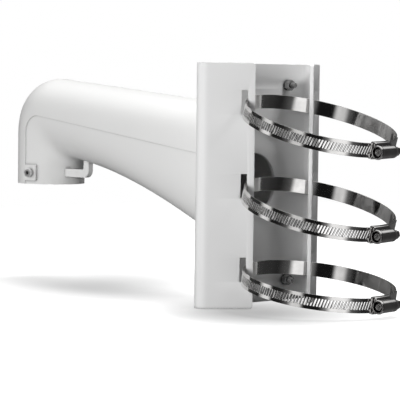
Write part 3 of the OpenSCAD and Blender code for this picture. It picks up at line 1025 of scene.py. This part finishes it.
def split_ring(inner_r, outer_r, thick, gap_angle, twist, steps=60):
    """Spring washer: a square ring that is cut through and whose ends stand apart."""
    points = []
    for i in range(steps + 1):
        a = math.radians(mix(gap_angle / 2, 360 - gap_angle / 2, i / steps))
        lift = twist * (i / steps - 0.5)
        for r, z in ((inner_r, lift), (outer_r, lift), (outer_r, thick - twist + lift), (inner_r, thick - twist + lift)):
            points.append((r * math.cos(a), r * math.sin(a), z + twist / 2))
    faces = [(4 * i + j, 4 * i + (j + 1) % 4, 4 * i + 4 + (j + 1) % 4, 4 * i + 4 + j)
             for i in range(steps) for j in range(4)]
    last = 4 * steps
    return points, faces + [(3, 2, 1, 0), (last, last + 1, last + 2, last + 3)]


spring_mesh = solid("spring washer", [split_ring(bolt_hole_r, washer_r - 0.4, washer_t, 14, 0.3)])
along_y = Matrix.Rotation(-math.pi / 2, 4, "X")
for i, (x, z) in enumerate(bolt_places, start=1):
    turn = Matrix.Rotation(math.radians(17 * i), 4, "Z")

    def set_at(y):
        return Matrix.Translation((x * MM, y * MM, z * MM)) @ along_y

    new_piece(f"bolt_{i}_turned", bake(bolt_mesh, set_at(face_y)), f"bolt_{i}")
    new_piece(f"flat_washer_{i}_ring", bake(flat_washer_mesh, set_at(face_y)), f"flat_washer_{i}")
    new_piece(f"spring_washer_{i}_ring", bake(spring_mesh, set_at(web_y + channel_t) @ turn), f"spring_washer_{i}")
    new_piece(f"nut_{i}_turned", bake(nut_mesh, set_at(web_y + channel_t + washer_t)), f"nut_{i}")
print("bolt", len(bolt_mesh.polygons), "faces, nut", len(nut_mesh.polygons), "faces")

# %% [markdown]
# The camera screws up into the neck, so the bore has a pipe thread, cut with a tap after the
# casting is done. The lock screw beside it has a knurled head with a hexagon socket.

# %% Neck thread and lock screw
thread_pitch = 2.3
bore_thread = solid("bore thread", [thread(-thread_r - 0.9, -thread_r - 0.02, thread_pitch, rim_z + 0.6,
                                           bore_top - 4.2, 72, 6)], 60)
bore_thread.transform(Matrix.Translation((0, (web_y + neck_y) * MM, 0)))
bore_thread.flip_normals()
new_piece("neck_thread", bore_thread, "arm_casting")

lock_r = 2.5
lock_head_r = 4.8
lock_head_h = 5.0
socket_af = 4.0
seat = lock_face + fit
knurls = 40
knurl_deep = 0.16
head_rows = [(lock_head_r - 0.5, 0), (lock_head_r, 0.4), (lock_head_r, lock_head_h - 0.6),
             (lock_head_r - 0.6, lock_head_h)]
head_points = []
for radius, z in head_rows:
    for i in range(2 * knurls):
        r = radius - knurl_deep * (i % 2)
        a = math.pi * i / knurls
        head_points.append((r * math.cos(a), r * math.sin(a), seat + z))
n = 2 * knurls
head_faces = [(j * n + i, j * n + (i + 1) % n, (j + 1) * n + (i + 1) % n, (j + 1) * n + i)
              for j in range(len(head_rows) - 1) for i in range(n)]
head_faces += [tuple(range(n))[::-1], tuple(range(3 * n, 4 * n))]
lock_head = solid("lock head", [(head_points, head_faces)], 30)
socket = solid("socket", [lathe([(0, seat + 2), (socket_af / 2 / math.cos(math.pi / 6), seat + 2),
                                 (socket_af / 2 / math.cos(math.pi / 6), seat + lock_head_h + 1),
                                 (0, seat + lock_head_h + 1)], 6)])
holder = bpy.data.objects.new("holder", lock_head)
bpy.context.scene.collection.objects.link(holder)
join_solid(holder, socket, "DIFFERENCE")
lock_head = holder.data
bpy.data.objects.remove(holder)
soften(lock_head, 30)
lock_shank = solid("lock shank", [
    lathe([(0, thread_r + 0.5), (lock_r - 0.9, thread_r + 0.5), (lock_r - 0.4, thread_r + 1.1),
           (lock_r - 0.4, seat + 0.2), (0, seat + 0.2)], 32),
    thread(lock_r - 0.45, lock_r, 0.8, thread_r + 1.1, seat, 28, 6)])
lock_place = (Matrix.Translation((0, (web_y + neck_y) * MM, lock_z * MM)) @ Matrix.Rotation(lock_dir, 4, "Z")
              @ Matrix.Rotation(math.pi / 2, 4, "Y"))
new_piece("lock_head", bake(lock_head, lock_place), "camera_lock_screw")
new_piece("lock_shank", bake(lock_shank, lock_place), "camera_lock_screw")
print("lock screw", len(lock_head.polygons) + len(lock_shank.polygons), "faces")

# %% [markdown]
# The photo's studio is a white table in a dark room with tall lamps round it. A mirror-bright
# strap shows the room as upright stripes, which is what makes it read as polished steel, so the
# room that reflections see is a ring of stripes by compass direction. The camera sees the room
# as plain white, like the photo's background. The table is see-through to reflections, and it
# bounces less light than it shows, because the photo's shades are deep.

# %% Table
floor_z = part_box("pole_channel")[0].z
bpy.ops.mesh.primitive_plane_add(size=1, location=(0, 0, floor_z - 0.0005))
floor = bpy.context.object
floor.name = "table"
floor.scale = (3.0, 3.0, 1)
floor_paint = bpy.data.materials.new("table_white")
floor_paint.use_nodes = True
floor_tree = floor_paint.node_tree
floor_shader = floor_tree.nodes["Principled BSDF"]
floor_shader.inputs["Roughness"].default_value = 0.9
floor_shader.inputs["Specular IOR Level"].default_value = 0.0
floor_shader.inputs["Emission Color"].default_value = (1, 1, 1, 1)
floor_rays = add(floor_tree, "ShaderNodeLightPath")
floor_place = add(floor_tree, "ShaderNodeNewGeometry")


def painted_shadow_oval(centre, half_across, half_deep, depth):
    """Painted shadow: darkness of a soft oval on the table, long or short across the picture."""
    spin = add(floor_tree, "ShaderNodeVectorRotate", rotation_type="Z_AXIS")
    spin.inputs["Center"].default_value = (*centre, 0)
    spin.inputs["Angle"].default_value = math.atan2(-right.y, right.x)
    floor_tree.links.new(floor_place.outputs["Position"], spin.inputs["Vector"])
    shift = add(floor_tree, "ShaderNodeVectorMath", operation="SUBTRACT")
    shift.inputs[1].default_value = (*centre, floor_z)
    floor_tree.links.new(spin.outputs[0], shift.inputs[0])
    squeeze = add(floor_tree, "ShaderNodeVectorMath", operation="MULTIPLY")
    squeeze.inputs[1].default_value = (1 / half_across, 1 / half_deep, 0)
    floor_tree.links.new(shift.outputs[0], squeeze.inputs[0])
    reach = add(floor_tree, "ShaderNodeVectorMath", operation="LENGTH")
    floor_tree.links.new(squeeze.outputs[0], reach.inputs[0])
    fade = add(floor_tree, "ShaderNodeMapRange", interpolation_type="SMOOTHSTEP",
               values={"From Min": 0.0, "From Max": 1.0, "To Min": depth, "To Max": 0.0})
    floor_tree.links.new(reach.outputs["Value"], fade.inputs["Value"])
    return fade


# Painted shadows: two soft ovals below the arm and below the clamps darken the table's colour and its glow.
arm_shade = painted_shadow_oval((-0.009, -0.341), 0.165, 0.25, 0.42)
clamp_shade = painted_shadow_oval((0.059, -0.020), 0.15, 0.17, 0.60)
all_shade = add(floor_tree, "ShaderNodeMath", operation="ADD")
floor_tree.links.new(arm_shade.outputs[0], all_shade.inputs[0])
floor_tree.links.new(clamp_shade.outputs[0], all_shade.inputs[1])
light_left = add(floor_tree, "ShaderNodeMath", operation="SUBTRACT", values={0: 1.0})
floor_tree.links.new(all_shade.outputs[0], light_left.inputs[1])
camera_glow = add(floor_tree, "ShaderNodeMath", operation="MULTIPLY", values={1: 0.80})
floor_tree.links.new(light_left.outputs[0], camera_glow.inputs[0])
floor_glow = add(floor_tree, "ShaderNodeMath", operation="MULTIPLY")
floor_tree.links.new(camera_glow.outputs[0], floor_glow.inputs[1])
shown_white = add(floor_tree, "ShaderNodeVectorMath", operation="SCALE")
shown_white.inputs[0].default_value = (0.45, 0.45, 0.45)
floor_tree.links.new(light_left.outputs[0], shown_white.inputs["Scale"])
floor_white = add(floor_tree, "ShaderNodeMix", data_type="RGBA")
floor_white.inputs[6].default_value = (0.14, 0.14, 0.14, 1)
floor_tree.links.new(shown_white.outputs[0], floor_white.inputs[7])
floor_gap = add(floor_tree, "ShaderNodeBsdfTransparent")
floor_either = add(floor_tree, "ShaderNodeMixShader")
floor_end = floor_tree.nodes["Material Output"]
floor_tree.links.new(floor_rays.outputs["Is Camera Ray"], floor_glow.inputs[0])
floor_tree.links.new(floor_glow.outputs[0], floor_shader.inputs["Emission Strength"])
floor_tree.links.new(floor_rays.outputs["Is Camera Ray"], floor_white.inputs[0])
floor_tree.links.new(floor_white.outputs[2], floor_shader.inputs["Base Color"])
floor_tree.links.new(floor_rays.outputs["Is Glossy Ray"], floor_either.inputs[0])
floor_tree.links.new(floor_shader.outputs[0], floor_either.inputs[1])
floor_tree.links.new(floor_gap.outputs[0], floor_either.inputs[2])
floor_tree.links.new(floor_either.outputs[0], floor_end.inputs["Surface"])
floor.data.materials.append(floor_paint)
print("table at", round(floor_z, 4))

# %% Room
world = bpy.data.worlds.new("studio")
bpy.context.scene.world = world
world.use_nodes = True
sky = world.node_tree
sky.nodes.clear()
rays = add(sky, "ShaderNodeLightPath")
place = add(sky, "ShaderNodeTexCoord")
split = add(sky, "ShaderNodeSeparateXYZ")
sky.links.new(place.outputs["Generated"], split.inputs[0])
ambient_rise = add(sky, "ShaderNodeMapRange",
                   values={"From Min": -0.1, "From Max": 0.9, "To Min": 0.03, "To Max": 0.50})
sky.links.new(split.outputs["Z"], ambient_rise.inputs["Value"])
compass = add(sky, "ShaderNodeMath", operation="ARCTAN2")
sky.links.new(split.outputs["Y"], compass.inputs[0])
sky.links.new(split.outputs["X"], compass.inputs[1])
turn_share = add(sky, "ShaderNodeMapRange",
                 values={"From Min": -math.pi, "From Max": math.pi, "To Min": 0.0, "To Max": 1.0})
sky.links.new(compass.outputs[0], turn_share.inputs["Value"])
stripes = add(sky, "ShaderNodeValToRGB")
stripe_list = [(-180, 0.10), (-130, 0.10), (-100, 0.06), (-62, 0.03), (-54, 0.01), (-44, 0.9), (-34, 0.9),
               (-29, 0.01), (-12, 0.02), (-2, 0.12), (5, 0.8), (16, 0.8), (22, 0.01), (46, 0.01), (56, 0.25),
               (64, 1.1), (84, 1.1), (92, 0.10), (112, 0.02), (150, 0.05), (180, 0.10)]
sky.links.new(turn_share.outputs["Result"], stripes.inputs["Fac"])
ambient = add(sky, "ShaderNodeBackground", values={"Color": (1, 1, 1, 1)})
ambient_side = add(sky, "ShaderNodeMapRange",
                   values={"From Min": -0.5, "From Max": 0.35, "To Min": 1.2, "To Max": 0.05})
sky.links.new(split.outputs["Y"], ambient_side.inputs["Value"])
ambient_level = add(sky, "ShaderNodeMath", operation="MULTIPLY")
sky.links.new(ambient_rise.outputs["Result"], ambient_level.inputs[0])
sky.links.new(ambient_side.outputs["Result"], ambient_level.inputs[1])
sky.links.new(ambient_level.outputs[0], ambient.inputs["Strength"])
height_share = add(sky, "ShaderNodeMapRange",
                   values={"From Min": -1.0, "From Max": 1.0, "To Min": 0.0, "To Max": 1.0})
sky.links.new(split.outputs["Z"], height_share.inputs["Value"])
storeys = add(sky, "ShaderNodeValToRGB")
stripe_share = add(sky, "ShaderNodeValToRGB")


def fill_ramp(node, stops):
    """Sets a colour ramp's grey stops from (place, level) pairs."""
    for i, (place_on_ramp, level) in enumerate(stops):
        step = node.color_ramp.elements[i] if i < 2 else node.color_ramp.elements.new(place_on_ramp)
        step.position = place_on_ramp
        step.color = (level, level, level, 1)


fill_ramp(stripes, [((direction + 180) / 360, level) for direction, level in stripe_list])
fill_ramp(storeys, [(0.0, 0.30), (0.17, 0.30), (0.24, 0.02), (0.76, 0.02), (0.82, 1.3), (1.0, 1.3)])
fill_ramp(stripe_share, [(0.0, 0.0), (0.17, 0.0), (0.22, 1.0), (0.70, 1.0), (0.78, 0.0), (1.0, 0.0)])
upright_part = add(sky, "ShaderNodeMix", data_type="RGBA")
sky.links.new(height_share.outputs["Result"], storeys.inputs["Fac"])
sky.links.new(height_share.outputs["Result"], stripe_share.inputs["Fac"])
sky.links.new(stripe_share.outputs["Color"], upright_part.inputs[0])
sky.links.new(storeys.outputs["Color"], upright_part.inputs[6])
sky.links.new(stripes.outputs["Color"], upright_part.inputs[7])
mirrored_room = add(sky, "ShaderNodeBackground", values={"Strength": 1.0})
sky.links.new(upright_part.outputs[2], mirrored_room.inputs["Color"])
plain = add(sky, "ShaderNodeBackground", values={"Color": (1, 1, 1, 1), "Strength": 1.0})
glossy_or_not = add(sky, "ShaderNodeMixShader")
either = add(sky, "ShaderNodeMixShader")
world_out = add(sky, "ShaderNodeOutputWorld")
sky.links.new(rays.outputs["Is Glossy Ray"], glossy_or_not.inputs[0])
sky.links.new(ambient.outputs[0], glossy_or_not.inputs[1])
sky.links.new(mirrored_room.outputs[0], glossy_or_not.inputs[2])
sky.links.new(rays.outputs["Is Camera Ray"], either.inputs[0])
sky.links.new(glossy_or_not.outputs[0], either.inputs[1])
sky.links.new(plain.outputs[0], either.inputs[2])
sky.links.new(either.outputs[0], world_out.inputs["Surface"])
print("room stripes", len(stripe_list))

# %% Lamps


def softbox(name, spot, aim, size, power):
    """Square lamp that faces a point."""
    lamp = bpy.data.lights.new(name, "AREA")
    lamp.shape = "SQUARE"
    lamp.size = size
    lamp.energy = power
    holder = bpy.data.objects.new(name, lamp)
    bpy.context.scene.collection.objects.link(holder)
    holder.location = spot
    holder.rotation_euler = (Vector(aim) - Vector(spot)).to_track_quat("-Z", "Y").to_euler()
    holder.visible_glossy = False
    return holder


middle = (0, -0.15, 0)
softbox("top_box", (-0.4, -0.3, 1.4), middle, 0.7, 22)
softbox("arm_box", (1.45, -1.35, 0.0), (0, -0.35, 0), 0.8, 3)
softbox("flange_box", (1.8, 0.50, 0.1), (0, 0, 0), 0.7, 38)
softbox("web_box", (-0.08, 0.10, 0.30), (-0.02, -0.1, 0.08), 0.06, 0.38)
print("lamps set")

# %% Colour settings
bpy.context.scene.view_settings.view_transform = "Standard"
